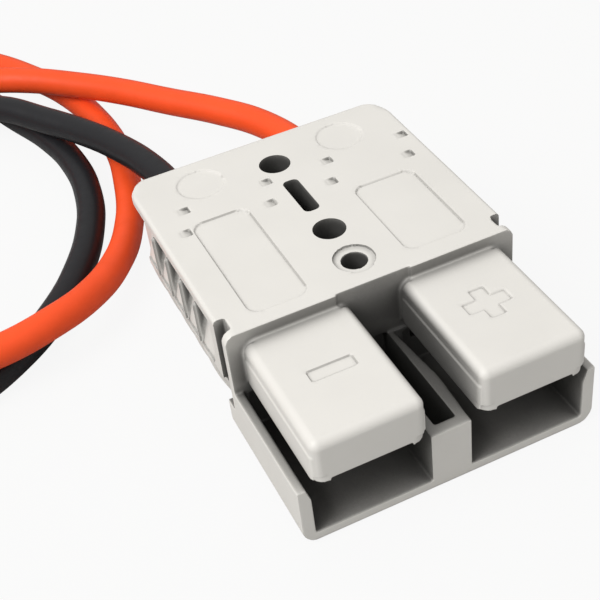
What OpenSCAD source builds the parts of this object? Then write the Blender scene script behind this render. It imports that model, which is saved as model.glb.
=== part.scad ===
// Two-pole genderless battery and solar connector with two cable leads.
// The mating face looks towards -Y, the cables leave towards +Y, the housing lies on Z = 0.
// The origin is on the bottom, in the plane of the mating face and midway between the poles.
// The other half of a joined pair is this same part turned end over end, about X.

/* [Housing] */
// Width of the housing
housing_w = 35; // [34:0.1:38]
// Height of the housing
housing_h = 16.5; // [15.6:0.1:18]
// Length of the closed body behind the mating face
body_l = 32.5; // [31.5:0.1:38]
// Length of the open tray in front of the mating face
tray_l = 16; // [14:0.1:18]
// Thickness of the tray's side walls
tray_wall = 1.5; // [1.2:0.05:1.6]
// Thickness of the tray's floor
tray_floor = 1.5; // [1.2:0.05:1.8]
// Depth by which the tray runs on under the mating face
tray_run_on = 1.2; // [0.8:0.1:2]
// How much the tray's side walls thin towards their top
wall_lead_in = 0.5; // [0.2:0.05:0.7]
// Height of the slope that thins them
lead_in_h = 1.7; // [1:0.1:3]
// Depth of the relief in the mating face between the hoods
rim_relief = 0.25; // [0.1:0.05:0.5]
// Radius of the long upper edges
edge_r = 1.4; // [0.8:0.1:1.6]
// Radius of the long lower edges
foot_r = 2.4; // [1.6:0.1:2.6]
// Radius of the body's two rear corners, seen from above
rear_corner_r = 3.6; // [2:0.1:4]
// Radius of the rear and front edges, seen from the side
end_edge_r = 0.6; // [0.3:0.1:1]

/* [Hoods] */
// Distance between the two poles
pole_pitch = 18.8; // [18.6:0.1:19.2]
// Width of one hood
hood_w = 12.5; // [12:0.1:12.6]
// Thickness of the hood's side walls and roof
hood_wall = 1.5; // [1.2:0.1:1.6]
// Thickness of the hood's front wall
hood_front_wall = 1.8; // [1.2:0.1:2.2]
// How far the hoods stand out past the tray
hood_reach = 0.9; // [0.3:0.1:1.1]
// Height of the hood's lower edge above the mating plane
hood_lift = 1.1; // [0.6:0.05:1.3]
// Running clearance between a hood and the tray floor of the other half
mating_clearance = 0.1; // [0.05:0.01:0.3]
// Radius of the hood's rounded edges
hood_r = 1.5; // [0.8:0.1:1.8]
// Height of the step between the hood's front feet
foot_step = 0.35; // [0.2:0.05:0.5]
// Width of each front foot
foot_w = 1.7; // [1.2:0.1:2.5]

/* [Divider] */
// Width of the hollow divider between the tray's two bays
divider_w = 4.7; // [4.2:0.1:4.9]
// Thickness of the divider's walls
divider_wall = 1.1; // [0.8:0.05:1.3]
// Thickness of the divider's front post
post_wall = 1.35; // [0.8:0.05:2]
// How much thinner the right-hand wall is at the mating face than at the post
divider_taper = 0.5; // [0.1:0.05:0.6]
// How far that wall's knee stands out
knee_out = 0.35; // [0.1:0.05:0.4]
// Distance of the knee in front of the mating face
knee_y = 8.6; // [7:0.1:10]

/* [Centre holes] */
// Diameter of the two mounting holes
mount_hole_d = 3.9; // [3.2:0.1:4.4]
// Distance of the front mounting hole behind the mating face
mount_hole_y = 10.8; // [10.2:0.1:11.2]
// Distance between the two mounting holes
mount_hole_pitch = 15.3; // [14.9:0.1:16]
// Width of the slot between the mounting holes
slot_w = 2; // [1.6:0.1:2.8]
// Length of the slot
slot_l = 7; // [5:0.1:7.6]
// Radius of the slot's corners
slot_r = 0.7; // [0.3:0.1:0.7]
// Diameter of the small hole nearest the mating face
small_hole_d = 3; // [2.4:0.1:3.4]
// Distance of the small hole behind the mating face
small_hole_y = 4.6; // [4.2:0.1:4.9]
// Diameter of the shallow recess round the small hole
recess_d = 4.9; // [4.2:0.1:5.4]
// Depth of the shallow recess
recess_depth = 0.35; // [0.2:0.05:0.8]

/* [Side grips] */
// Number of finger ribs on each side
rib_count = 4; // [2:1:4]
// Distance between the ribs
rib_pitch = 4.55; // [4:0.05:4.6]
// Width of a rib
rib_w = 0.8; // [0.6:0.05:1]
// Distance of the first rib behind the mating face
first_rib_y = 10.1; // [9.8:0.1:10.4]
// Height of a rib above the mating plane
rib_h = 5.75; // [4:0.05:6]
// How far a rib's crest stays within the housing's width
rib_sink = 0.15; // [0.1:0.05:0.2]
// How far the grip faces lean in, above and below the mating plane, in degrees
grip_lean = 14.8; // [12:0.1:15.4]
// Height of the grip's recess above the mating plane
grip_h = 6.95; // [6.5:0.05:7.1]
// Distance of the recess's front end behind the mating face
grip_front = 4.5; // [4.3:0.1:5]
// Radius of the arc that forms the recess's front end
grip_nose_r = 8; // [7:0.5:9]
// Height of that arc's centre above the mating plane
grip_nose_z = 4.25; // [3.5:0.05:5]
// Height of the shallow bulge in each hollow beside a rib
bulge_h = 0.27; // [0.15:0.01:0.3]
// Depth of the step behind the grip
rear_step = 1.2; // [0.8:0.05:1.6]
// Width of the groove behind the rim
groove_w = 1.9; // [1:0.1:2]
// Depth of the groove behind the rim
groove_depth = 1.3; // [0.6:0.05:1.35]
// Distance of the groove behind the mating face
rim_t = 1.1; // [0.8:0.1:1.2]
// Height at which the groove ends
groove_foot = 5; // [4:0.1:7]

/* [Wire channels] */
// Diameter of the cable entry at the rear
entry_d = 9.4; // [8:0.1:9.8]
// Depth of the cable entry
entry_l = 8.4; // [6:0.1:9]
// Diameter of the bore round the contact's barrel
channel_d = 7.2; // [6.6:0.1:8]
// Length of the box-shaped contact chamber behind the mating face
chamber_l = 6.5; // [5.5:0.1:7.5]
// Depth of that chamber below the mating plane
chamber_drop = 3.2; // [2.5:0.1:3.8]

/* [Contacts] */
// Width of the flat tongue
tongue_w = 8; // [6.5:0.1:8.6]
// Thickness of the flat tongue
tongue_t = 1.6; // [1.2:0.1:1.8]
// How far the relaxed tongue stands below the mating plane
tongue_preload = 0.5; // [0.3:0.05:0.8]
// Gap between the tongue's tip and the hood's front wall
tip_gap = 1; // [0.6:0.1:2]
// Outer diameter of the crimp barrel
barrel_d = 5.2; // [4.6:0.1:5.6]
// Length of the crimp barrel
barrel_l = 11; // [9:0.1:12]
// Length of the neck between barrel and tongue
neck_l = 4; // [3:0.1:4.4]
// Bare conductor that shows between the barrel and the insulation
bare_l = 1.3; // [0.8:0.1:2]

/* [Springs] */
// Width of the leaf spring
spring_w = 6; // [4:0.1:7]
// Thickness of the leaf spring
spring_t = 0.4; // [0.3:0.05:0.5]
// Gap that keeps the leaf spring clear of what it touches
spring_gap = 0.08; // [0.05:0.01:0.12]

/* [Cables] */
// Outer diameter of the cable's insulation
cable_d = 4; // [3.6:0.1:4.1]
// Diameter of the stranded conductor
conductor_d = 2.6; // [2:0.1:2.8]
// Clearance of the conductor in a barrel, and of a sleeve over what it covers
wire_clearance = 0.05; // [0.02:0.01:0.1]
// Gap between the cable's end and the conductor that moves with the contact
cable_gap = 0.25; // [0.1:0.05:0.4]

/* [Ring terminals] */
// Diameter of the stud hole
stud_hole_d = 5.3; // [4.3:0.1:5.6]
// Outer diameter of the ring
ring_d = 9.6; // [8.6:0.1:10.5]
// Thickness of the ring
ring_t = 1; // [0.8:0.1:1.2]
// Outer diameter of the terminal's barrel
lug_barrel_d = 4.2; // [3.8:0.1:4.4]
// Length of the terminal's barrel
lug_barrel_l = 7; // [5:0.1:9]
// Distance from the barrel's front to the ring's centre
lug_neck_l = 7.5; // [6.5:0.1:9]
// Wall of the shrink sleeve
sleeve_t = 0.45; // [0.3:0.05:0.5]
// Length of cable that the sleeve covers
sleeve_over_cable = 9; // [6:0.5:12]

/* [Hidden] */
$fn = 96;
over = 0.5;                                       // how far a cut runs past a face
mid_z = housing_h / 2;                            // the mating plane
pole_x = pole_pitch / 2;
rim_relief_w = 2 * pole_x - hood_w + 2.6;          // it reaches a little way behind both hoods
body_half = housing_w / 2;
bay_half = body_half - tray_wall;                 // inner face of a tray side wall
hood_top = housing_h - tray_floor - mating_clearance;
hood_bottom = mid_z + hood_lift;
hood_roof = hood_top - hood_wall;
hood_front = -(tray_l + hood_reach);
chamber_w = hood_w - 2 * hood_wall;
barrel_front = chamber_l + 1.4;                   // the neck has narrowed where it enters the bore
barrel_rear = barrel_front + barrel_l;
insulation_y = barrel_rear + bare_l;              // where the cable's insulation begins
tongue_bottom = mid_z - tongue_preload;
tongue_top = tongue_bottom + tongue_t;
tongue_front = hood_front + hood_front_wall + tip_gap;
conductor_end = insulation_y - cable_gap;
sleeve_over_lug = lug_barrel_l - 1;
sleeve_inner_d = max(cable_d, lug_barrel_d) + 2 * wire_clearance;
lug_z = sleeve_inner_d / 2 + sleeve_t + 0.05;     // height of a cable's far end
grip_top = mid_z + grip_h;
grip_in = 3;                                      // how far the grip's shapes reach into the side
grip_rear = first_rib_y + rib_count * rib_pitch;
grip_face = body_half - bulge_h / cos(grip_lean);  // where the leaning faces start, without their bulges

// Each cable's route: out of the housing, then once round a loose loop, and on to its terminal.
positive_route = [
    [pole_x, insulation_y, mid_z], [pole_x, body_l, mid_z], [8.9, 40, 8.2], [6.7, 48.2, 8.1], [2.9, 55.3, 7.8],
    [-2, 63, 7.2], [-7.3, 71.2, 6.7], [-12.8, 78.2, 6.3], [-18.2, 83.6, 6.2], [-24.5, 87.9, 6.2],
    [-31.3, 90.6, 6.6], [-38.8, 91.2, 6.4], [-46.1, 89.7, 5.2], [-52.7, 86.2, 3.8], [-58.2, 81, 2.7],
    [-62.2, 74.6, 2.1], [-64.7, 67.4, 2], [-65.8, 59.8, 2], [-65.9, 52.2, 2], [-64.9, 45, 2],
    [-62.7, 38.2, 2.3], [-59, 31.9, 3], [-53.9, 27.1, 4.1], [-48.7, 24.5, 5.3], [-43.5, 23.2, 6.2],
    [-37.5, 23.3, 6.3], [-31.6, 25, 6.1], [-26.2, 28.3, 5.2], [-20.6, 34.6, 3.8], [-15.8, 44, 2.5],
    [-12.8, 54, 2], [-11.2, 64, 2], [-11.5, 74, 2], [-13.3, 83.5, 2], [-16.8, 92.5, 2], [-21.3, 100.6, 2.1],
    [-25.2, 105.2, 2.2], [-30.6, 108.4, 2.4], [-36.8, 109.5, lug_z], [-47.3, 109.5, lug_z]
];
negative_route = [
    [-pole_x, insulation_y, mid_z], [-pole_x, body_l, mid_z], [-9.7, 40, 8.2], [-10.6, 47.4, 7.9],
    [-12.4, 55.2, 7.2], [-15.4, 63, 6.6], [-19.6, 70.6, 6.3], [-24.2, 77.8, 6.1], [-28.4, 83.6, 4.3],
    [-33, 88.8, 2.4], [-38.8, 92.6, 2], [-45.8, 94, 2], [-53, 92.6, 2], [-59.4, 88.7, 2], [-64.9, 83.2, 2],
    [-69, 76.6, 2], [-71.6, 69.4, 2], [-72.8, 61.8, 2], [-73.1, 53.8, 2], [-72.9, 45.6, 2], [-71.8, 37.6, 2],
    [-69, 30.2, 2], [-64.4, 24.6, 2], [-58, 21.2, 2], [-50.8, 20.7, 2], [-43.5, 22.5, 2], [-36.5, 26.2, 2],
    [-30.4, 31.4, 2], [-25.2, 38, 2], [-21, 46, 2], [-18.6, 54.5, 2], [-18.1, 63.5, 2], [-19.4, 72, 2],
    [-22, 80, 2], [-24.9, 88, 2], [-28.5, 93.8, 2.1], [-33.6, 98.3, 2.3], [-39.4, 101.2, 2.5],
    [-45.8, 102.3, lug_z], [-56.3, 101.6, lug_z]
];

// A rectangle with rounded corners, from [0, 0].
module rounded_rectangle(size, r) {
    translate([r, 0]) square([size[0] - 2 * r, size[1]]);
    translate([0, r]) square([size[0], size[1] - 2 * r]);
    for (x = [r, size[0] - r], y = [r, size[1] - r])
        translate([x, y]) circle(r);
}

// Turns a 2D shape drawn in X and Z into a solid from y = from to y = to.
module along_y(from, to) {
    translate([0, to, 0]) rotate([90, 0, 0]) linear_extrude(to - from) children();
}

// Turns a 2D shape drawn in Y and Z into a solid from x = from to x = to.
module along_x(from, to) {
    translate([from, 0, 0]) rotate([90, 0, 90]) linear_extrude(to - from) children();
}

// A round bar or bore along Y, from y = from to y = to.
module rod_y(d, from, to) {
    translate([0, to, 0]) rotate([90, 0, 0]) cylinder(d = d, h = to - from);
}

// The outer block of body and tray, before anything is cut from it.
module envelope() {
    intersection() {
        translate([-body_half, -tray_l, 0]) linear_extrude(housing_h) body_outline();
        along_y(-tray_l, body_l) end_outline();
        along_x(-body_half, body_half)
            translate([-tray_l, 0]) rounded_rectangle([body_l + tray_l, housing_h], end_edge_r);
    }
}

// Seen from the front: the lower corners are rounder than the upper ones.
module end_outline() {
    translate([-body_half, 0]) {
        translate([foot_r, 0]) square([housing_w - 2 * foot_r, housing_h - edge_r]);
        translate([0, foot_r]) square([housing_w, housing_h - foot_r - edge_r]);
        translate([edge_r, foot_r]) square([housing_w - 2 * edge_r, housing_h - foot_r]);
        for (x = [foot_r, housing_w - foot_r]) translate([x, foot_r]) circle(foot_r);
        for (x = [edge_r, housing_w - edge_r]) translate([x, housing_h - edge_r]) circle(edge_r);
    }
}

// Seen from above: square at the front, round corners at the rear.
module body_outline() {
    l = body_l + tray_l;
    square([housing_w, l - rear_corner_r]);
    translate([rear_corner_r, 0]) square([housing_w - 2 * rear_corner_r, l]);
    for (x = [rear_corner_r, housing_w - rear_corner_r])
        translate([x, l - rear_corner_r]) circle(rear_corner_r);
}

// What is taken from the front of the block to leave the tray.
module tray_cuts() {
    translate([-body_half - over, -tray_l - over, mid_z])
        cube([housing_w + 2 * over, tray_l + over, housing_h]);
    translate([-bay_half, -tray_l - over, tray_floor])
        cube([2 * bay_half, tray_l + over, mid_z]);
    for (side = [-1, 1])
        translate([side * pole_x - hood_w / 2 - mating_clearance, -over, tray_floor])
            cube([hood_w + 2 * mating_clearance, tray_run_on + over, mid_z - tray_floor - hood_lift / 2]);
    translate([divider_wall - divider_w / 2, -over, tray_floor])
        cube([divider_w - 2 * divider_wall, tray_run_on + over, mid_z - tray_floor]);
    for (side = [0, 1]) mirror([side, 0, 0])
        along_y(-tray_l - over, 0)
            polygon([[bay_half - over, mid_z - lead_in_h], [bay_half, mid_z - lead_in_h],
                     [bay_half + wall_lead_in, mid_z], [bay_half - over, mid_z]]);
    translate([-rim_relief_w / 2, -over, mid_z])
        cube([rim_relief_w, rim_relief + over, housing_h]);
}

// The hollow divider between the two bays, open at the top and closed by a post at the front.
module divider() {
    half = divider_w / 2;
    inner = half - divider_wall;
    translate([0, 0, tray_floor - over]) linear_extrude(mid_z - tray_floor + over) {
        translate([-half, -tray_l]) square([divider_w, post_wall]);
        translate([-half, -tray_l]) square([divider_wall, tray_l + over]);
        polygon([[inner, -tray_l], [half, -tray_l], [half + knee_out, -knee_y], [half - divider_taper, over],
                 [inner, over]]);
    }
}

// The hood's section across its width: round at the top, square at the lower edges.
module hood_section(left) {
    h = hood_top - hood_bottom;
    translate([left, hood_bottom]) {
        square([hood_w, h - hood_r]);
        translate([hood_r, 0]) square([hood_w - 2 * hood_r, h]);
        for (x = [hood_r, hood_w - hood_r]) translate([x, h - hood_r]) circle(hood_r);
    }
}

// The hood's section along its length: round at the upper front edge.
module hood_side_section() {
    h = hood_top - hood_bottom;
    l = tray_l + hood_reach + over;
    translate([hood_front, hood_bottom]) {
        square([l, h - hood_r]);
        translate([hood_r, 0]) square([l - hood_r, h]);
        translate([hood_r, h - hood_r]) circle(hood_r);
    }
}

module hood(side) {
    left = side * pole_x - hood_w / 2;
    intersection() {
        translate([left, hood_front, 0]) linear_extrude(housing_h)
            rounded_rectangle([hood_w, tray_l + hood_reach + over + hood_r], hood_r);
        along_y(hood_front, over) hood_section(left);
        along_x(left, left + hood_w) hood_side_section();
    }
}

// The room for the contact and its spring: inside the hood, on into the body, and out at the rear.
module wire_channel(side) {
    inner_front = hood_front + hood_front_wall;
    translate([side * pole_x, 0, 0]) {
        translate([-chamber_w / 2, inner_front, hood_bottom - over])
            cube([chamber_w, -inner_front + over, hood_roof - hood_bottom + over]);
        translate([-chamber_w / 2, -over, mid_z - chamber_drop])
            cube([chamber_w, chamber_l + over, hood_roof - mid_z + chamber_drop]);
        translate([0, 0, mid_z]) {
            rod_y(channel_d, chamber_l - over, body_l);
            rod_y(entry_d, body_l - entry_l, body_l + over);
        }
        translate([foot_w - hood_w / 2, hood_front - over, hood_bottom - over])
            cube([hood_w - 2 * foot_w, hood_front_wall + 2 * over, foot_step + over]);
    }
}

// The holes along the centre line, all right through.
module centre_holes() {
    translate([0, 0, -over]) {
        for (y = [mount_hole_y, mount_hole_y + mount_hole_pitch])
            translate([0, y, 0]) cylinder(d = mount_hole_d, h = housing_h + 2 * over);
        translate([0, small_hole_y, 0]) cylinder(d = small_hole_d, h = housing_h + 2 * over);
        translate([-slot_w / 2, mount_hole_y + mount_hole_pitch / 2 - slot_l / 2, 0])
            linear_extrude(housing_h + 2 * over) rounded_rectangle([slot_w, slot_l], slot_r);
    }
    translate([0, small_hole_y, housing_h - recess_depth]) cylinder(d = recess_d, h = recess_depth + over);
}

// The bulges of the right side's upper grip face, one for each hollow beside a rib.
module bulges() {
    bulge_r = (rib_pitch * rib_pitch / 4 + bulge_h * bulge_h) / (2 * bulge_h);
    front = first_rib_y - rib_pitch;
    translate([grip_face, 0, mid_z]) rotate([0, -grip_lean, 0]) translate([0, 0, -over])
        linear_extrude(housing_h) intersection() {
            translate([-grip_in, front]) square([grip_in + 2 * bulge_h, grip_rear - front]);
            for (i = [0 : rib_count])
                translate([bulge_h - bulge_r, first_rib_y + (i - 0.5) * rib_pitch]) circle(bulge_r);
        }
}

// The right side's finger ribs: upright, round, each with a ball for its top.
module ribs() {
    axis_x = body_half - rib_sink - rib_w / 2;
    for (i = [0 : rib_count - 1]) translate([axis_x, first_rib_y + i * rib_pitch, mid_z]) {
        cylinder(d = rib_w, h = rib_h - rib_w / 2);
        translate([-grip_in, -rib_w / 2, 0]) cube([grip_in, rib_w, rib_h - rib_w / 2]);
        translate([0, 0, rib_h - rib_w / 2]) {
            sphere(d = rib_w);
            rotate([0, -90, 0]) cylinder(d = rib_w, h = grip_in);
        }
    }
}

// What is taken from the right side: above the mating plane a recess that deepens upwards and holds
// the ribs, below it a face that leans in downwards, and behind both a step.
module side_cuts() {
    nose_y = grip_front + grip_nose_r;
    outside = body_half + over;
    difference() {
        intersection() {
            along_y(grip_front, grip_rear)
                polygon([[grip_face, mid_z], [outside, mid_z], [outside, grip_top],
                         [grip_face - grip_h * tan(grip_lean), grip_top]]);
            along_x(body_half - grip_in, outside) {
                translate([nose_y, mid_z + grip_nose_z]) circle(grip_nose_r);
                translate([nose_y, 0]) square([grip_rear - nose_y, housing_h]);
            }
        }
        bulges();
        ribs();
    }
    difference() {
        along_y(rim_t + groove_w, body_l + over)
            polygon([[grip_face, mid_z], [grip_face - mid_z * tan(grip_lean), 0],
                     [grip_face - mid_z * tan(grip_lean), -over], [outside, -over], [outside, mid_z]]);
        translate([0, 0, housing_h]) mirror([0, 0, 1]) bulges();
    }
    translate([body_half - rear_step, grip_rear, -over])
        cube([rear_step + over, body_l - grip_rear + over, grip_top + over]);
}

module rim_groove(side) {
    translate([side > 0 ? body_half - groove_depth : -body_half - over, rim_t, groove_foot])
        cube([groove_depth + over, groove_w, housing_h]);
}

module housing() {
    color("gainsboro") difference() {
        union() {
            difference() {
                envelope();
                tray_cuts();
                side_cuts();
                mirror([1, 0, 0]) side_cuts();
            }
            divider();
            for (side = [-1, 1]) hood(side);
        }
        for (side = [-1, 1]) {
            wire_channel(side);
            rim_groove(side);
        }
        centre_holes();
    }
}

// A crimp barrel that is drawn out into a flat tongue with a rounded, turned-up tip.
module contact(side) {
    slice = 0.2;
    color("silver") translate([side * pole_x, 0, 0]) difference() {
        union() {
            translate([0, 0, mid_z]) rod_y(barrel_d, barrel_front, barrel_rear);
            hull() {
                translate([0, 0, mid_z]) rod_y(barrel_d, barrel_front, barrel_front + slice, $fn = 32);
                translate([-tongue_w / 2, barrel_front - neck_l, tongue_bottom])
                    cube([tongue_w, slice, tongue_t]);
            }
            translate([-tongue_w / 2, tongue_front + tongue_t, tongue_bottom])
                cube([tongue_w, barrel_front - neck_l - tongue_front - tongue_t + slice, tongue_t]);
            along_x(-tongue_w / 2, tongue_w / 2)
                translate([tongue_front + tongue_t, tongue_top]) difference() {
                    circle(tongue_t);
                    translate([-tongue_t - over, 0]) square(2 * tongue_t + 2 * over);
                }
        }
        translate([0, 0, mid_z])
            rod_y(conductor_d + 2 * wire_clearance, barrel_front + 1.5, barrel_rear + over);
    }
}

// The leaf spring: flat along the roof, sloping down to press on the tongue, and turned up at the tip.
module leaf_spring(side) {
    top = hood_roof - spring_gap - spring_t;
    low = tongue_top + spring_gap;
    line = [[chamber_l - spring_gap, top], [1, top], [-3, top - 0.6], [tongue_front + 6, low + 0.3],
            [tongue_front + 4.4, low], [tongue_front + 3, low + 0.3], [tongue_front + 2, low + 1]];
    color("lightsteelblue") translate([side * pole_x, 0, 0]) along_x(-spring_w / 2, spring_w / 2)
        polygon(concat(line, [for (i = [len(line) - 1 : -1 : 0]) line[i] + [0, spring_t]]));
}

// The stranded conductor that is crimped in the contact's barrel.
module conductor(side) {
    color("peru") translate([side * pole_x, 0, mid_z]) rod_y(conductor_d, barrel_front + 1.7, conductor_end);
}

// The direction of a route at point i.
function heading(route, i) =
    let (a = route[max(i - 1, 0)], b = route[min(i + 1, len(route) - 1)]) (b - a) / norm(b - a);

// The ring of corners round point i of a route.
function ring_at(route, i, r, sides) =
    let (t = heading(route, i), u = cross([0, 0, 1], t) / norm(cross([0, 0, 1], t)), v = cross(t, u))
    [for (k = [0 : sides - 1]) route[i] + r * (cos(360 * k / sides) * u + sin(360 * k / sides) * v)];

// A closed tube along a route.
module swept_tube(route, d, sides) {
    n = len(route);
    points = [for (i = [0 : n - 1]) each ring_at(route, i, d / 2, sides)];
    sides_of = [for (i = [0 : n - 2], k = [0 : sides - 1])
        [i * sides + k, i * sides + (k + 1) % sides, (i + 1) * sides + (k + 1) % sides, (i + 1) * sides + k]];
    ends = [[for (k = [sides - 1 : -1 : 0]) k], [for (k = [0 : sides - 1]) (n - 1) * sides + k]];
    polyhedron(points, concat(sides_of, ends), convexity = 10);
}

// Puts children, drawn along +Y with their start at [0, 0, 0], at the far end of a route, level.
module at_far_end(route) {
    n = len(route) - 1;
    d = route[n] - route[n - 1];
    translate(route[n]) rotate([0, 0, atan2(d[1], d[0]) - 90]) children();
}

// The shrink sleeve over the cable's end and the terminal's barrel.
module sleeve(route) {
    color("dimgray") at_far_end(route) difference() {
        rod_y(sleeve_inner_d + 2 * sleeve_t, -sleeve_over_cable, sleeve_over_lug);
        rod_y(sleeve_inner_d, -sleeve_over_cable - over, sleeve_over_lug + over);
    }
}

// A ring terminal: a short barrel, a flat neck and a ring with a stud hole.
module ring_terminal(route) {
    ring_y = lug_barrel_l + lug_neck_l;
    base = -lug_barrel_d / 2;
    color("silver") at_far_end(route) difference() {
        union() {
            rod_y(lug_barrel_d, 0, lug_barrel_l);
            translate([0, ring_y, base]) cylinder(d = ring_d, h = ring_t);
            translate([-lug_barrel_d / 2, lug_barrel_l - 1, base])
                cube([lug_barrel_d, lug_neck_l - ring_d / 4, ring_t]);
        }
        translate([0, ring_y, base - over]) cylinder(d = stud_hole_d, h = ring_t + 2 * over);
        rod_y(conductor_d + 2 * wire_clearance, -over, lug_barrel_l + over);
    }
}

// The end of the conductor in the terminal's barrel.
module strand_end(route) {
    color("peru") at_far_end(route) rod_y(conductor_d, 0, lug_barrel_l + 0.6);
}

module cable_negative() color("dimgray") swept_tube(negative_route, cable_d, 8);
module cable_positive() color("orangered") swept_tube(positive_route, cable_d, 8);

housing();
contact(-1);  // contact_negative
contact(1);  // contact_positive
leaf_spring(-1);  // leaf_spring_negative
leaf_spring(1);  // leaf_spring_positive
conductor(-1);  // conductor_negative
conductor(1);  // conductor_positive
cable_negative();
cable_positive();
sleeve(negative_route);  // sleeve_negative
sleeve(positive_route);  // sleeve_positive
ring_terminal(negative_route);  // ring_terminal_negative
ring_terminal(positive_route);  // ring_terminal_positive
strand_end(negative_route);  // strand_end_negative
strand_end(positive_route);  // strand_end_positive
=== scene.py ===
"""Two-pole genderless battery and solar connector with two cable leads, lying on a pale bench."""

import math
import random

import bmesh
import bpy
import numpy as np
from mathutils import Euler, Matrix, Vector


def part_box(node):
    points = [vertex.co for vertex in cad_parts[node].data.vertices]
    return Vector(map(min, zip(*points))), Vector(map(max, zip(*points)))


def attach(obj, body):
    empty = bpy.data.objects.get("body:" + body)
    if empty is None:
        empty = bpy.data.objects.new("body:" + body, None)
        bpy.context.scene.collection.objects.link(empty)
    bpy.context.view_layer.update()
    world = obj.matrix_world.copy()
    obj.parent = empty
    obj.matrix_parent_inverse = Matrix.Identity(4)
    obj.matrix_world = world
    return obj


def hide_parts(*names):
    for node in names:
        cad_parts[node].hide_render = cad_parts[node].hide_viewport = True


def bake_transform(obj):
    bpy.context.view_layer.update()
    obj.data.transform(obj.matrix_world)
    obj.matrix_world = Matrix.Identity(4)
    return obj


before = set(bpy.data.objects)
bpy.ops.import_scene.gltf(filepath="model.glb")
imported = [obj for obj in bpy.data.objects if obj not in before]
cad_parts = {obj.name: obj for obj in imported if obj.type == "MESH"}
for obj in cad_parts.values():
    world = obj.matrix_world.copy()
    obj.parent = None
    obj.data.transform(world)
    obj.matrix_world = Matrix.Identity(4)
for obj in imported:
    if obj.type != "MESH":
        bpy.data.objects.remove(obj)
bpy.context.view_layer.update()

# Lengths are in millimetres unless a comment says metres; MM turns them into metres.
MM = 0.001
WALL_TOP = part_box("housing")[1].z / MM  # height of the housing
MID_Z = WALL_TOP / 2  # height of the mating plane, which the poles' axes lie in
# distance of each pole from the middle
POLE_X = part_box("contact_positive")[0].x / MM / 2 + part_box("contact_positive")[1].x / MM / 2
SIGN = {"negative": -1, "positive": 1}  # the side of the middle that each pole is on

# ---------------------------------------------------------------- camera


def make_camera():
    """The photograph's camera: its place, heading and lens were fitted to the housing's corners and holes."""
    data = bpy.data.cameras.new("camera")
    data.lens = 72.187
    data.sensor_width = 36
    camera = bpy.data.objects.new("camera", data)
    camera.location = Vector((-41.009, -89.807, 99.391)) * MM
    camera.rotation_euler = Euler([math.radians(a) for a in (49.195, 5.961, -24.979)])
    data.clip_start, data.clip_end = 0.005, 10  # metres
    bpy.context.scene.collection.objects.link(camera)
    bpy.context.scene.camera = camera


make_camera()

# ---------------------------------------------------------------- materials


# Painted shade: the plastic's colour is darkened where the piece closes in on a place, in place of the shade
# there.
PAINTED_SHADE_REACH = 17  # how far around a place counts as closing it in
PAINTED_SHADE_SAMPLES = 16
PAINTED_SHADE_OPEN = 0.92  # a place at least this open keeps its colour
PAINTED_SHADE_POWER = 2.3  # how steeply the colour darkens as a place closes in


def set_range(node, from_min, from_max, to_min, to_max):
    """Sets the four ends of a Map Range node."""
    node.inputs["From Min"].default_value = from_min
    node.inputs["From Max"].default_value = from_max
    node.inputs["To Min"].default_value = to_min
    node.inputs["To Max"].default_value = to_max


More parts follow.
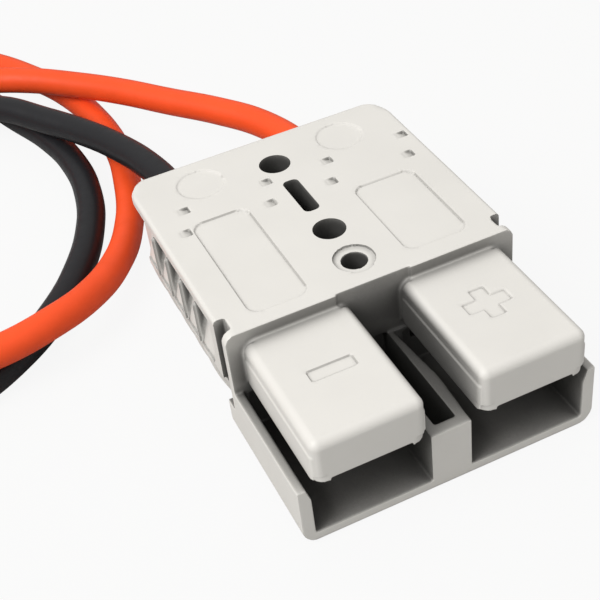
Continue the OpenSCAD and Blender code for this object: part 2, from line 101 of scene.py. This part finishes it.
class Shader:
    """A node material, built line by line."""

    def __init__(self, name):
        self.material = bpy.data.materials.new(name)
        self.material.use_nodes = True
        self.tree = self.material.node_tree
        self.surface = self.tree.nodes["Principled BSDF"]
        self.place = self.add("ShaderNodeTexCoord").outputs["Object"]

    def add(self, kind, **settings):
        node = self.tree.nodes.new(kind)
        for key, value in settings.items():
            setattr(node, key, value)
        return node

    def link(self, a, b):
        self.tree.links.new(a, b)

    def put(self, key, value):
        """Gives one of the surface's inputs a plain value."""
        self.surface.inputs[key].default_value = value

    def paint(self, colour):
        """Makes a socket's colour the surface's own."""
        self.link(colour, self.surface.inputs["Base Color"])

    def roughen(self, factor, low, high):
        """Roughness that wanders between low and high with the factor."""
        self.link(self.to_range(factor, 0.3, 0.7, low, high), self.surface.inputs["Roughness"])

    def noise(self, size_mm, detail=3.0, roughness=0.5):
        """Noise whose blobs are about size_mm across."""
        node = self.add("ShaderNodeTexNoise")
        node.inputs["Scale"].default_value = 1 / (size_mm * MM)
        node.inputs["Detail"].default_value = detail
        node.inputs["Roughness"].default_value = roughness
        self.link(self.place, node.inputs["Vector"])
        return node.outputs["Fac"]

    def ramp(self, factor, stops):
        """A colour that follows the factor through the stops, each a (position, colour)."""
        node = self.add("ShaderNodeValToRGB")
        elements = node.color_ramp.elements
        while len(elements) < len(stops):
            elements.new(0.5)
        for element, (position, colour) in zip(elements, stops):
            element.position = position
            element.color = (*colour, 1)
        self.link(factor, node.inputs["Fac"])
        return node.outputs["Color"]

    def to_range(self, factor, low, high, to_low, to_high):
        """The factor, stretched from the range low to high onto the range to_low to to_high."""
        node = self.add("ShaderNodeMapRange")
        set_range(node, low, high, to_low, to_high)
        self.link(factor, node.inputs["Value"])
        return node.outputs["Result"]

    def painted_hollow_shade(self, colour, reach_mm, deepest):
        """The colour with painted shade: darker the more the piece itself closes in on a place, standing in
        for the shade that falls there.

        deepest is the least share of the colour that a hollow keeps."""
        near = self.add("ShaderNodeAmbientOcclusion", samples=PAINTED_SHADE_SAMPLES, only_local=True)
        near.inputs["Distance"].default_value = reach_mm * MM
        share = self.add("ShaderNodeMath", operation="POWER")
        self.link(self.to_range(near.outputs["AO"], 0, PAINTED_SHADE_OPEN, 0, 1), share.inputs[0])
        share.inputs[1].default_value = PAINTED_SHADE_POWER
        floor = self.add("ShaderNodeMath", operation="MAXIMUM")
        self.link(share.outputs[0], floor.inputs[0])
        floor.inputs[1].default_value = deepest
        scaled = self.add("ShaderNodeVectorMath", operation="SCALE")
        self.link(colour, scaled.inputs[0])
        self.link(floor.outputs[0], scaled.inputs["Scale"])
        return scaled.outputs[0]

    def bump(self, height, depth_mm, strength=1.0, before=None):
        """Relief depth_mm deep on the surface, on top of the relief in before."""
        node = self.add("ShaderNodeBump")
        node.inputs["Distance"].default_value = depth_mm * MM
        node.inputs["Strength"].default_value = strength
        self.link(height, node.inputs["Height"])
        if before is not None:
            self.link(before, node.inputs["Normal"])
        self.link(node.outputs["Normal"], self.surface.inputs["Normal"])
        return node.outputs["Normal"]


def around(colour, spread):
    """Three stops of one colour, from a little darker to a little lighter."""
    shares = ((0.3, -1), (0.5, 0), (0.7, 1))
    return [(at, tuple(c * (1 + share * spread) for c in colour)) for at, share in shares]


def moulded_plastic(name, colour, roughness, spread=0.02, grain=0.006, painted_shade_limit=0.0):
    """Plastic out of a finely eroded mould: faint flow marks, and a fine grain.

    spread is how far the colour wanders, grain the depth of the grain, and the last argument the least share
    of the colour that painted shade leaves in a deep hollow, or 0 where no shade is painted."""
    s = Shader(name)
    skin = s.ramp(s.noise(9, 4), around(colour, spread))
    # painted shade: the colour darkens where the piece closes in on a place
    if painted_shade_limit:
        skin = s.painted_hollow_shade(skin, PAINTED_SHADE_REACH, painted_shade_limit)
    s.paint(skin)
    s.roughen(s.noise(2.5), roughness - 0.05, roughness + 0.05)
    s.put("IOR", 1.49)
    coarse = s.bump(s.noise(4, 2), 0.02)
    s.bump(s.noise(0.12, 2), grain, before=coarse)
    return s.material


def cable_insulation(name, colour, roughness):
    """Soft extruded insulation: slow waves from the strands under it, and a dusty satin skin."""
    s = Shader(name)
    s.paint(s.ramp(s.noise(6, 5), around(colour, 0.05)))
    s.roughen(s.noise(1.2), roughness - 0.06, roughness + 0.08)
    s.put("IOR", 1.45)
    s.put("Specular IOR Level", 0.25)
    waves = s.bump(s.noise(3.5, 2), 0.05)
    s.bump(s.noise(0.25, 2), 0.006, before=waves)
    return s.material


def metal(name, colour, roughness, tarnish, brushed=0.3):
    """Plated or rolled metal: fine brushing, and a patchy tarnish."""
    s = Shader(name)
    stops = [(0.35, tarnish), (0.6, colour), (1, tuple(min(1, c * 1.06) for c in colour))]
    s.paint(s.ramp(s.noise(1.8, 5, 0.6), stops))
    s.put("Metallic", 1)
    s.roughen(s.noise(0.7), roughness - 0.07, roughness + 0.1)
    scratches = s.bump(s.noise(0.08, 1), 0.002, brushed)
    s.bump(s.noise(1.5, 2), 0.02, before=scratches)
    return s.material


# the grey plastic gets painted shade in its hollow places, down to a tenth of its colour
GREY_PLASTIC = moulded_plastic("grey_plastic", (0.71, 0.69, 0.65), 0.5, painted_shade_limit=0.1)
RED_CABLE = cable_insulation("red_cable", (0.92, 0.09, 0.02), 0.42)
BLACK_CABLE = cable_insulation("black_cable", (0.016, 0.016, 0.018), 0.36)
RED_SLEEVE = moulded_plastic("red_sleeve", (0.5, 0.03, 0.02), 0.38, spread=0.05, grain=0.01)
BLACK_SLEEVE = moulded_plastic("black_sleeve", (0.025, 0.025, 0.027), 0.38, spread=0.05, grain=0.01)
SILVER = metal("silver_plate", (0.86, 0.85, 0.82), 0.28, (0.62, 0.59, 0.53))
TIN = metal("tin_plate", (0.78, 0.78, 0.77), 0.34, (0.6, 0.6, 0.59))
SPRING = metal("spring_steel", (0.55, 0.56, 0.58), 0.3, (0.42, 0.42, 0.43))
COPPER = metal("copper_strands", (0.83, 0.45, 0.29), 0.3, (0.55, 0.27, 0.16))

# ---------------------------------------------------------------- mesh helpers

MERGE_WITHIN = 1e-4  # corners closer than this are one corner
SHARP_ANGLE = math.radians(35)  # faces that meet at more than this keep a crisp edge


def new_object(name, mesh, material, smooth=True):
    piece = bpy.data.objects.new(name, mesh)
    bpy.context.scene.collection.objects.link(piece)
    mesh.materials.clear()
    mesh.materials.append(material)
    if smooth:
        mesh.shade_smooth()
    return piece


def mesh_of(name, points_mm, faces):
    """A mesh from points in millimetres, kept in metres."""
    mesh = bpy.data.meshes.new(name)
    mesh.from_pydata([Vector(p) * MM for p in points_mm], [], faces)
    mesh.validate()
    return mesh


def evaluated(piece):
    """The piece's mesh with its modifiers applied; they are then removed."""
    graph = bpy.context.evaluated_depsgraph_get()
    mesh = bpy.data.meshes.new_from_object(piece.evaluated_get(graph))
    piece.modifiers.clear()
    piece.data = mesh
    return mesh


def coordinates(mesh):
    """The mesh's corners, one row for each."""
    found = np.empty(len(mesh.vertices) * 3)
    mesh.vertices.foreach_get("co", found)
    return found.reshape(-1, 3)


def soft_copy(node, name, material, voxel, rounds, carve=None, keep=1.0):
    """A copy of a CAD node with small real radii on all its edges, and with carve's fine detail cut in.

    It works in millimetres: a grid of voxels takes up the shape, and rounds of smoothing round its edges.
    carve gets the points and their normals, and gives the moved points. keep is the share of faces kept."""
    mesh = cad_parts[node].data.copy()
    mesh.transform(Matrix.Scale(1 / MM, 4))
    work = bmesh.new()
    work.from_mesh(mesh)
    bmesh.ops.remove_doubles(work, verts=work.verts, dist=MERGE_WITHIN)
    work.to_mesh(mesh)
    work.free()
    piece = new_object(name, mesh, material)
    grid = piece.modifiers.new("grid", "REMESH")
    grid.mode = "VOXEL"
    grid.voxel_size = voxel
    soften = piece.modifiers.new("soften", "SMOOTH")
    soften.factor = 0.5
    soften.iterations = rounds
    mesh = evaluated(piece)
    if carve is not None:
        points = coordinates(mesh)
        normals = np.empty(len(mesh.vertices) * 3)
        mesh.vertices.foreach_get("normal", normals)
        mesh.vertices.foreach_set("co", carve(points, normals.reshape(-1, 3)).ravel())
        mesh.update()
    if keep < 1:
        thin = piece.modifiers.new("thin", "DECIMATE")
        thin.ratio = keep
        mesh = evaluated(piece)
    mesh.transform(Matrix.Scale(MM, 4))
    mesh.materials.clear()
    mesh.materials.append(material)
    mesh.shade_smooth()
    mesh.set_sharp_from_angle(angle=SHARP_ANGLE)
    even = piece.modifiers.new("even_normals", "WEIGHTED_NORMAL")
    even.mode = "FACE_AREA_WITH_ANGLE"
    even.keep_sharp = True
    return piece


def step(t):
    """Smoothly from 0 at t = 0 to 1 at t = 1."""
    t = np.clip(t, 0, 1)
    return t * t * (3 - 2 * t)


def inside_box(x, y, low, high, r, edge):
    """1 inside a rectangle with rounded corners, 0 outside, and smooth over its edge."""
    half_x, half_y = (high[0] - low[0]) / 2, (high[1] - low[1]) / 2
    dx = np.abs(x - (low[0] + high[0]) / 2) - half_x + r
    dy = np.abs(y - (low[1] + high[1]) / 2) - half_y + r
    away = np.hypot(np.maximum(dx, 0), np.maximum(dy, 0)) + np.minimum(np.maximum(dx, dy), 0) - r
    return step(0.5 - away / edge)


def inside_circle(x, y, centre, r, edge):
    """1 inside a circle, 0 outside, and smooth over its edge."""
    return step(0.5 - (np.hypot(x - centre[0], y - centre[1]) - r) / edge)


# ---------------------------------------------------------------- cables

CABLE_D = 4.0
EXIT_Y = 32.5  # where the cables leave the housing
INSULATION_Y = 20.2  # where their insulation begins, inside it
LUG_Z = 2.65  # height of the cables' axes at the terminals
# The routes are the same as in part.scad.
POSITIVE_ROUTE = [
    (POLE_X, INSULATION_Y, MID_Z), (POLE_X, EXIT_Y, MID_Z), (8.9, 40, 8.2), (6.7, 48.2, 8.1),
    (2.9, 55.3, 7.8), (-2, 63, 7.2), (-7.3, 71.2, 6.7), (-12.8, 78.2, 6.3), (-18.2, 83.6, 6.2),
    (-24.5, 87.9, 6.2),
    (-31.3, 90.6, 6.6), (-38.8, 91.2, 6.4), (-46.1, 89.7, 5.2), (-52.7, 86.2, 3.8), (-58.2, 81, 2.7),
    (-62.2, 74.6, 2.1), (-64.7, 67.4, 2), (-65.8, 59.8, 2), (-65.9, 52.2, 2), (-64.9, 45, 2),
    (-62.7, 38.2, 2.3), (-59, 31.9, 3), (-53.9, 27.1, 4.1), (-48.7, 24.5, 5.3), (-43.5, 23.2, 6.2),
    (-37.5, 23.3, 6.3), (-31.6, 25, 6.1), (-26.2, 28.3, 5.2), (-20.6, 34.6, 3.8), (-15.8, 44, 2.5),
    (-12.8, 54, 2), (-11.2, 64, 2), (-11.5, 74, 2), (-13.3, 83.5, 2), (-16.8, 92.5, 2), (-21.3, 100.6, 2.1),
    (-25.2, 105.2, 2.2), (-30.6, 108.4, 2.4), (-36.8, 109.5, LUG_Z), (-47.3, 109.5, LUG_Z),
]
NEGATIVE_ROUTE = [
    (-POLE_X, INSULATION_Y, MID_Z), (-POLE_X, EXIT_Y, MID_Z), (-9.7, 40, 8.2), (-10.6, 47.4, 7.9),
    (-12.4, 55.2, 7.2), (-15.4, 63, 6.6), (-19.6, 70.6, 6.3), (-24.2, 77.8, 6.1), (-28.4, 83.6, 4.3),
    (-33, 88.8, 2.4), (-38.8, 92.6, 2), (-45.8, 94, 2), (-53, 92.6, 2), (-59.4, 88.7, 2), (-64.9, 83.2, 2),
    (-69, 76.6, 2), (-71.6, 69.4, 2), (-72.8, 61.8, 2), (-73.1, 53.8, 2), (-72.9, 45.6, 2), (-71.8, 37.6, 2),
    (-69, 30.2, 2), (-64.4, 24.6, 2), (-58, 21.2, 2), (-50.8, 20.7, 2), (-43.5, 22.5, 2), (-36.5, 26.2, 2),
    (-30.4, 31.4, 2), (-25.2, 38, 2), (-21, 46, 2), (-18.6, 54.5, 2), (-18.1, 63.5, 2), (-19.4, 72, 2),
    (-22, 80, 2), (-24.9, 88, 2), (-28.5, 93.8, 2.1), (-33.6, 98.3, 2.3), (-39.4, 101.2, 2.5),
    (-45.8, 102.3, LUG_Z), (-56.3, 101.6, LUG_Z),
]
ROUTES = {"negative": NEGATIVE_ROUTE, "positive": POSITIVE_ROUTE}
CABLE_MATERIAL = {"negative": BLACK_CABLE, "positive": RED_CABLE}
SLEEVE_WALL = 0.45
CRIMP_DEPTH = 0.35
CRIMPS_Y = 2.2, 4.8  # the middles of a barrel's two crimps, from the cable's far end
STRANDS_D = 2.6  # across a bare bundle of strands
STRAND_END_L = 7.6  # length of the bare strands at a cable's far end


def make_cable(pole):
    """The cable's insulation: one round tube on one smooth curve."""
    data = bpy.data.curves.new("lead_" + pole, "CURVE")
    data.dimensions = "3D"
    data.resolution_u = 8
    data.bevel_depth = CABLE_D / 2 * MM
    data.bevel_resolution = 8
    data.use_fill_caps = True
    spline = data.splines.new("BEZIER")
    spline.bezier_points.add(len(ROUTES[pole]) - 1)
    for point, place in zip(spline.bezier_points, ROUTES[pole]):
        point.co = Vector(place) * MM
        point.handle_left_type = point.handle_right_type = "AUTO"
    data.materials.append(CABLE_MATERIAL[pole])
    piece = bpy.data.objects.new("lead_" + pole, data)
    bpy.context.scene.collection.objects.link(piece)
    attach(piece, "housing")
    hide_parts("cable_" + pole)
    return piece


def far_end(pole):
    """The place and heading of a cable's far end, where its terminal's own frame begins."""
    last, before = Vector(ROUTES[pole][-1]), Vector(ROUTES[pole][-2])
    heading = last - before
    turn = math.atan2(heading.y, heading.x) - math.pi / 2
    return Matrix.Translation(last) @ Matrix.Rotation(turn, 4, "Z")


def lathe(name, profile, material, sides=48, uneven=0.0, seed=1):
    """A tube round the Y axis, from a closed loop of (y, radius); its skin wanders by up to uneven."""
    rng = random.Random(seed)
    lobes = [(rng.uniform(0, math.tau), rng.choice((2, 3, 4)), rng.uniform(0.3, 1)) for _ in range(5)]
    points = []
    for y, radius in profile:
        for k in range(sides):
            turn = math.tau * k / sides
            ripple = sum(w * math.sin(n * turn + a + y * (0.5 + 0.3 * n)) for a, n, w in lobes)
            r = radius + uneven * ripple / len(lobes)
            points.append((r * math.cos(turn), y, r * math.sin(turn)))
    count = len(profile)
    faces = []
    for i in range(count):
        here, there = i * sides, (i + 1) % count * sides
        for k in range(sides):
            after = (k + 1) % sides
            faces.append((here + k, there + k, there + after, here + after))
    return new_object(name, mesh_of(name, points, faces), material)


def strand_bundle(name, start, end, diameter, place, lay=14.0):
    """Nineteen bare strands, one in the middle and two layers twisted round it, along Y from start to end.

    lay is the length of one full turn of the twist."""
    strand_r = diameter / 10
    # each layer's radius, its number of strands, and its shift round the axis
    layers = [(0, 1, 0.0), (diameter / 5, 6, 0.0), (diameter * 0.4, 12, 0.26)]
    ring_gap = 0.45
    sides, rings = 8, max(6, int((end - start) / ring_gap))
    points, faces = [], []
    rng = random.Random(7)
    for radius, number, shift in layers:
        for n in range(number):
            first = len(points)
            stop = end - rng.uniform(0, 0.12)
            for i in range(rings + 1):
                y = start + (stop - start) * i / rings
                turn = math.tau * (n / number + y / lay) + shift
                cx, cz = radius * math.cos(turn), radius * math.sin(turn)
                for k in range(sides):
                    a = math.tau * k / sides
                    points.append((cx + strand_r * math.cos(a), y, cz + strand_r * math.sin(a)))
            for i in range(rings):
                for k in range(sides):
                    a, b = first + i * sides, first + (i + 1) * sides
                    faces.append((a + k, b + k, b + (k + 1) % sides, a + (k + 1) % sides))
            faces.append(tuple(first + k for k in range(sides)))
            faces.append(tuple(first + rings * sides + k for k in reversed(range(sides))))
    mesh = mesh_of(name, [place @ Vector(p) for p in points], faces)
    return new_object(name, mesh, COPPER)


def make_sleeve(pole):
    """The shrink sleeve, which follows the cable, a step down at its end, and the terminal's barrel."""
    low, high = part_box("sleeve_" + pole)
    inner = (high.z - low.z) / MM / 2 - SLEEVE_WALL
    # how much of the wall stands out at each y
    outer = [
        (-9.0, 0.55), (-8.85, 0.88), (-8.5, 0.97), (-6.0, 0.985), (-3.0, 0.985), (-1.2, 0.99), (0.0, 1.0),
        (1.5, 1.0), (3.5, 0.995), (5.4, 0.98), (5.85, 0.9), (6.0, 0.6),
    ]
    profile = [(y, inner + SLEEVE_WALL * share) for y, share in outer]
    profile += [(y, inner) for y in (6.0, 4.0, 1.0, -3.0, -6.0, -9.0)]
    material = RED_SLEEVE if pole == "positive" else BLACK_SLEEVE
    piece = lathe("shrink_" + pole, profile, material, uneven=0.03, seed=3 + SIGN[pole])
    piece.data.transform(Matrix.Scale(1 / MM, 4))
    piece.data.transform(far_end(pole))
    piece.data.transform(Matrix.Scale(MM, 4))
    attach(piece, "housing")
    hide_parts("sleeve_" + pole)
    return piece


def crimped(pole):
    """Presses two crimps into a terminal's barrel, from above."""
    back = far_end(pole).inverted()

    def carve(points, normals):
        local = points @ np.array(back.to_3x3()).T + np.array(back.translation)
        dent = sum(np.exp(-((local[:, 1] - at) ** 2) / 0.5) for at in CRIMPS_Y)
        on_top = step((normals[:, 2] - 0.2) / 0.6) * step((local[:, 2] - 0.6) / 0.8)
        points[:, 2] -= CRIMP_DEPTH * dent * on_top
        return points

    return carve


def make_terminal(pole):
    """The ring terminal at a cable's far end, crimped."""
    piece = soft_copy("ring_terminal_" + pole, "lug_" + pole, TIN, voxel=0.11, rounds=3, carve=crimped(pole))
    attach(piece, "housing")
    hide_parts("ring_terminal_" + pole)
    return piece


def make_strand_end(pole):
    """The bare strands in the terminal's barrel."""
    piece = strand_bundle("copper_end_" + pole, 0, STRAND_END_L, STRANDS_D, far_end(pole))
    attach(piece, "housing")
    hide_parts("strand_end_" + pole)
    return piece


for pole in SIGN:
    lead = make_cable(pole)
    on_it = [make_sleeve(pole), make_terminal(pole), make_strand_end(pole)]

# ---------------------------------------------------------------- housing

CARVED_EDGE = 0.14  # the width over which a carved detail reaches its depth
# The bare label panels, each as its two corners in x and y.
PANELS = (((-13.5, 2.0), (-6.5, 20.0)), ((5.6, 2.5), (13.4, 16.3)))
PANEL_R = 1.5
PANEL_DEPTH = 0.22
# The ejector marks, one over each cable entry.
EJECTOR_Y = 27.3
EJECTOR_R = 2.9
EJECTOR_DEPTH = 0.14
# The core pits, in two rows: a row's y, and each pit's x.
PIT_ROWS = ((23.2, (-13.1, -2.5, 5.7, 16.0)), (19.0, (-14.4, -3.7, 4.3, 14.7)))
PIT_HALF = 0.65, 0.6  # half of a pit in x and in y
PIT_R = 0.2
PIT_DEPTH = 0.34
# The polarity signs, as bars given by two corners.
MINUS = (((-11.7, -8.9), (-6.5, -7.3)),)
PLUS = (((6.8, -8.5), (12.0, -6.7)), ((8.5, -10.05), (10.3, -5.15)))
SIGN_R = 0.25
SIGN_DEPTH = 0.2
# The rounded edges that part.scad has, and how tight the scene makes them.
EDGE_R = 1.4
TIGHT_EDGE = 0.5
GROOVE_Y = 2.6  # in the groove behind the rim; the long upper edges are tightened from here back
HOOD_R = 1.5
TIGHT_HOOD = 1.0
HOOD_HALF = 6.25  # half of a hood's width
HOOD_FRONT = -16.9
HOOD_TOP = 14.9
# The narrow ledge along a hood's sides, which stand out a little below this height.
LEDGE_Z = 12.95
LEDGE_DEPTH = 0.12
# The finger ribs on the housing's sides, and the relief that the scene adds to them.
RIB_FRONT = 10.1
RIB_PITCH = 4.55
RIB_HALF = 0.4  # half of a rib's width
GRIP_SPAN = 6.0, 28.2  # where the relief begins and ends in y
GRIP_TOP = 14.9  # and its upper end
CREST_OUT = 0.1
VALLEY_IN = 0.06
BULGE_OUT = 0.1
FOOT_BULGE_OUT = 0.25  # how much fuller the bulges are at the foot than at the top


def tighten(points, inner, signs, r, tight, where, share):
    """Turns the radius r of a box's rounded edges into a tighter one; inner is where the rounding begins.

    signs gives the way out along each axis, or 0 along an axis that the edge runs in. share is 1 where the
    edge is fully tightened and 0 where it stays as it is."""
    out = np.maximum((points - np.array(inner)) * signs, 0) * np.abs(signs)
    length = np.linalg.norm(out, axis=1)
    # only points near the old rounding move
    rounded = where & (length > r - 0.2) & (length < r * 1.3)
    away = out[rounded] / length[rounded, None]
    # how far the tighter surface lies along each point's own way out, found by halving
    low, high = np.full(len(away), r), np.full(len(away), r * 1.8)
    for _ in range(24):
        middle = (low + high) / 2
        past = np.linalg.norm(np.maximum(away * middle[:, None] - (r - tight), 0), axis=1) > tight
        low, high = np.where(past, low, middle), np.where(past, middle, high)
    points[rounded] += away * ((low - length[rounded]) * share[rounded])[:, None] * signs


def tighten_edges(points):
    """The long upper edges behind the rim, and the hoods' upper edges, as crisp as the mould leaves them."""
    x, y, z = points.T.copy()
    half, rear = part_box("housing")[1].x / MM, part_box("housing")[1].y / MM
    to_rear = step((rear - 0.8 - y) / 3)
    fully = np.ones(len(points))
    for side in (-1, 1):
        inner = side * (half - EDGE_R), 0, WALL_TOP - EDGE_R
        here = (side * x > 0) & (y > GROOVE_Y) & (z > MID_Z)
        tighten(points, inner, (side, 0, 1), EDGE_R, TIGHT_EDGE, here, to_rear)
        for flank in (-1, 1):
            inner = side * POLE_X + flank * (HOOD_HALF - HOOD_R), HOOD_FRONT + HOOD_R, HOOD_TOP - HOOD_R
            here = (side * x > 0) & (flank * (x - side * POLE_X) > 0) & (y < -0.4) & (z > MID_Z + 2)
            tighten(points, inner, (flank, -1, 1), HOOD_R, TIGHT_HOOD, here, fully)


def carve_top(points, normals):
    """The label panels, the ejector marks and the wedge-shaped core pits."""
    x, y, z = points.T
    top = (normals[:, 2] > 0.5) & (z > WALL_TOP - 0.4)
    depth = np.zeros(len(points))
    for low, high in PANELS:
        depth = np.maximum(depth, PANEL_DEPTH * inside_box(x, y, low, high, PANEL_R, CARVED_EDGE))
    for side in (-1, 1):
        mark = inside_circle(x, y, (side * POLE_X, EJECTOR_Y), EJECTOR_R, CARVED_EDGE)
        depth = np.maximum(depth, EJECTOR_DEPTH * mark)
    half_x, half_y = PIT_HALF
    for row_y, row in PIT_ROWS:
        for pit_x in row:
            slope = 0.25 + 0.75 * step((x - pit_x + 0.6) / 1.1)
            low, high = (pit_x - half_x, row_y - half_y), (pit_x + half_x, row_y + half_y)
            pit = inside_box(x, y, low, high, PIT_R, CARVED_EDGE)
            depth = np.maximum(depth, PIT_DEPTH * slope * pit)
    points[:, 2] -= np.where(top, depth, 0)


def carve_grips(points, normals):
    """Crisper crests on the finger ribs, a valley on each side of a rib, and fuller bulges between them."""
    x, y, z = points.T
    # each step fades in over the width that it is divided by
    along = (y - RIB_FRONT) / RIB_PITCH
    from_rib = np.abs(along - np.round(along)) * RIB_PITCH
    gripped = step((y - GRIP_SPAN[0]) / 1.2) * step((GRIP_SPAN[1] - y) / 0.5)
    gripped *= step((z - 0.5) / 4) * step((GRIP_TOP - z) / 0.6) * (np.abs(x) > 14.5)
    valley = step((1.0 - from_rib) / 0.4) * step((from_rib - RIB_HALF) / 0.15)
    crest = step((RIB_HALF + 0.15 - from_rib) / 0.2) * (np.abs(along - 1.5) < 2)
    bulge = np.sin(math.pi * along) ** 2
    low_down = step((MID_Z + 2 - z) / 5)
    outward = CREST_OUT * (1 - low_down) * crest + (BULGE_OUT + FOOT_BULGE_OUT * low_down) * bulge
    outward = gripped * (outward - VALLEY_IN * valley)
    points[:, 0] += np.where(np.abs(normals[:, 0]) > 0.45, np.sign(x) * outward, 0)


def carve_hoods(points, normals):
    """The polarity signs, sunk in the hoods' tops, and the ledge along each hood's sides."""
    x, y, z = points.T
    hood = (normals[:, 2] > 0.5) & (np.abs(z - HOOD_TOP) < 0.6) & (y < -1)
    sign = np.zeros(len(points))
    for low, high in MINUS + PLUS:
        sign = np.maximum(sign, inside_box(x, y, low, high, SIGN_R, CARVED_EDGE))
    points[:, 2] -= np.where(hood, SIGN_DEPTH * sign, 0)
    for side in (-1, 1):
        near = np.abs(np.abs(x - side * POLE_X) - HOOD_HALF) < 0.2
        flank = near & (y < -0.4) & (z > MID_Z + 0.5) & (np.abs(normals[:, 0]) > 0.6)
        ledge = LEDGE_DEPTH * step((LEDGE_Z - z) / 0.2 + 0.5)
        points[:, 0] += np.where(flank, np.sign(normals[:, 0]) * ledge, 0)


def carve_housing(points, normals):
    """The fine moulded detail that part.scad leaves out, from the edges to the signs."""
    tighten_edges(points)
    carve_top(points, normals)
    carve_grips(points, normals)
    carve_hoods(points, normals)
    return points


def make_housing():
    voxel = 0.13
    keep = 0.6
    piece = soft_copy("housing", "shell_moulding", GREY_PLASTIC, voxel, 3, carve=carve_housing, keep=keep)
    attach(piece, "housing")
    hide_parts("housing")


make_housing()

# ---------------------------------------------------------------- contacts


def make_contact(pole):
    """The flat contact, and the bare strands in its barrel."""
    piece = soft_copy("contact_" + pole, "blade_" + pole, SILVER, voxel=0.12, rounds=3)
    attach(piece, "contact_" + pole)
    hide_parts("contact_" + pole)
    low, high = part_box("conductor_" + pole)
    place = Matrix.Translation((SIGN[pole] * POLE_X, 0, MID_Z))
    bundle = strand_bundle("copper_" + pole, low.y / MM, high.y / MM, STRANDS_D, place)
    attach(bundle, "contact_" + pole)
    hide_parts("conductor_" + pole)


def make_spring(pole):
    """The leaf spring, which stays where it is in the housing."""
    piece = soft_copy("leaf_spring_" + pole, "spring_" + pole, SPRING, voxel=0.07, rounds=1, keep=0.5)
    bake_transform(piece)
    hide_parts("leaf_spring_" + pole)


for pole in SIGN:
    make_contact(pole)
    make_spring(pole)

# ---------------------------------------------------------------- stage and light

BENCH_HALF = 3000
BENCH_Z = -0.04  # just under the part, so that no two faces coincide
BENCH_COLOUR = (0.42, 0.42, 0.415)
BENCH_GLOW = 1.01
BENCH_WHITE = 0.9  # how much of what the camera sees of the bench is its plain glow
# the sky's strength at the horizon and overhead, and how white the camera sees it
HORIZON = 0.32
ZENITH = 0.9
SEEN_SKY = 0.96


def make_floor():
    """A white bench: it looks white to the camera, and keeps the part's soft shadow."""
    corners = [(x * BENCH_HALF, y * BENCH_HALF, 0) for x, y in ((-1, -1), (1, -1), (1, 1), (-1, 1))]
    mesh = mesh_of("bench", corners, [(0, 1, 2, 3)])
    s = Shader("bench_white")
    s.paint(s.ramp(s.noise(60, 3), around(BENCH_COLOUR, 0.01)))
    s.put("Roughness", 0.9)
    s.put("Specular IOR Level", 0.1)
    white = s.add("ShaderNodeEmission")
    white.inputs["Color"].default_value = (1, 1, 0.998, 1)
    white.inputs["Strength"].default_value = BENCH_GLOW
    rays = s.add("ShaderNodeLightPath")
    share = s.add("ShaderNodeMath", operation="MULTIPLY")
    s.link(rays.outputs["Is Camera Ray"], share.inputs[0])
    share.inputs[1].default_value = BENCH_WHITE
    blend = s.add("ShaderNodeMixShader")
    s.link(share.outputs[0], blend.inputs["Fac"])
    s.link(s.surface.outputs["BSDF"], blend.inputs[1])
    s.link(white.outputs["Emission"], blend.inputs[2])
    s.link(blend.outputs["Shader"], s.tree.nodes["Material Output"].inputs["Surface"])
    floor = new_object("bench", mesh, s.material, smooth=False)
    floor.location.z = BENCH_Z * MM


def make_world():
    """A soft sky, bright overhead and dim at the horizon; the camera sees it as plain near-white."""
    world = bpy.data.worlds.new("studio")
    world.use_nodes = True
    tree = world.node_tree
    place = tree.nodes.new("ShaderNodeTexCoord")
    split = tree.nodes.new("ShaderNodeSeparateXYZ")
    tree.links.new(place.outputs["Generated"], split.inputs["Vector"])
    rise = tree.nodes.new("ShaderNodeMapRange")
    set_range(rise, 0, 1, HORIZON, ZENITH)
    tree.links.new(split.outputs["Z"], rise.inputs["Value"])
    light = tree.nodes["Background"]
    light.inputs["Color"].default_value = (1, 0.995, 0.985, 1)
    tree.links.new(rise.outputs["Result"], light.inputs["Strength"])
    seen = tree.nodes.new("ShaderNodeBackground")
    seen.inputs["Color"].default_value = (1, 1, 1, 1)
    seen.inputs["Strength"].default_value = SEEN_SKY
    rays = tree.nodes.new("ShaderNodeLightPath")
    pick = tree.nodes.new("ShaderNodeMixShader")
    tree.links.new(rays.outputs["Is Camera Ray"], pick.inputs["Fac"])
    tree.links.new(light.outputs["Background"], pick.inputs[1])
    tree.links.new(seen.outputs["Background"], pick.inputs[2])
    tree.links.new(pick.outputs["Shader"], tree.nodes["World Output"].inputs["Surface"])
    bpy.context.scene.world = world


def area_light(name, place, aim, size, power):
    """A round lamp at place, turned towards aim; place, aim and size are in metres."""
    data = bpy.data.lights.new(name, "AREA")
    data.shape = "DISK"
    data.size = size
    data.energy = power
    lamp = bpy.data.objects.new(name, data)
    lamp.location = place
    lamp.rotation_euler = (Vector(aim) - Vector(place)).to_track_quat("-Z", "Y").to_euler()
    bpy.context.scene.collection.objects.link(lamp)


make_floor()
make_world()
area_light("key", place=(-0.42, -0.08, 0.46), aim=(0, 0.01, 0), size=0.4, power=2.7)

bpy.context.scene.view_settings.view_transform = "Standard"
